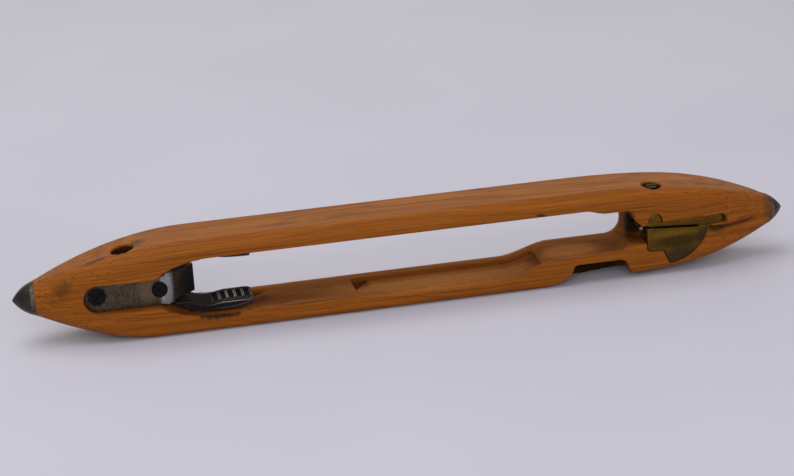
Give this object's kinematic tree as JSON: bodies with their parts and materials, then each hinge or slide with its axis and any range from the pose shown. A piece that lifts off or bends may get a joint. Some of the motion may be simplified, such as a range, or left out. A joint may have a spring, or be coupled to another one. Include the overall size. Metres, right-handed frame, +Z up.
{
  "type": "weaving shuttle",
  "caption": "Hardwood loom shuttle with steel points, a sprung jaw grip under a steel cover strap, an open bobbin well and a brass self-threading eye.",
  "frame": {"origin": "below the middle of the shuttle's length and depth, on the surface that the outer side of its front wall lies on", "axes": "+X along the shuttle towards the end with the eye, -Y out of the top face, which takes the bobbin, +Z up from the front wall to the back wall"},
  "size_m": [0.412, 0.034, 0.0495],
  "materials": {
    "wood": "worn oiled hardwood",
    "tip_steel": "turned, worn",
    "strap_steel": "stained, bright at the bend",
    "dark_steel": "blackened",
    "brass": "aged casting",
    "spring_brass": "rolled sheet",
    "felt": "felt"
  },
  "bodies": {
    "shuttle": {"shuttle_body": "wood", "spring_end_tip": "tip_steel", "eye_end_tip": "tip_steel", "grip_spring": "dark_steel", "heel_block": "dark_steel", "heel_rivet_outer": "dark_steel", "heel_rivet_inner": "dark_steel", "cross_bolt": "dark_steel", "cross_bolt_nut": "dark_steel", "bolt_washer": "dark_steel", "nut_washer": "dark_steel", "cover_strap": "strap_steel", "star_screw": "dark_steel", "strap_screw": "dark_steel", "shuttle_eye": "brass", "eye_screw": "dark_steel", "thread_guide_pin": "tip_steel", "tension_felt": "felt", "leaf_screw": "dark_steel"},
    "back_jaw": {"back_jaw": "dark_steel"},
    "front_jaw": {"front_jaw": "dark_steel"},
    "tension_leaf": {"tension_leaf": "spring_brass"}
  },
  "joints": [
    {"name": "back_jaw_flex", "type": "hinge", "parent": "shuttle", "child": "back_jaw", "pos_m": [-0.1306, -0.001, 0.0309], "axis": [0, -1, 0], "range_deg": [0, 2.5], "stiffness_Nm_per_rad": 20, "springref_deg": -1.15},
    {"name": "front_jaw_flex", "type": "hinge", "parent": "shuttle", "child": "front_jaw", "pos_m": [-0.1306, -0.001, 0.0176], "axis": [0, 1, 0], "range_deg": [0, 2.5], "stiffness_Nm_per_rad": 20, "springref_deg": -1.15},
    {"name": "tension_leaf_lift", "type": "hinge", "parent": "shuttle", "child": "tension_leaf", "pos_m": [0.1507, -0.00985, 0.02325], "axis": [0, 0, 1], "range_deg": [0, 4], "stiffness_Nm_per_rad": 0.01, "springref_deg": -11.46}
  ]
}
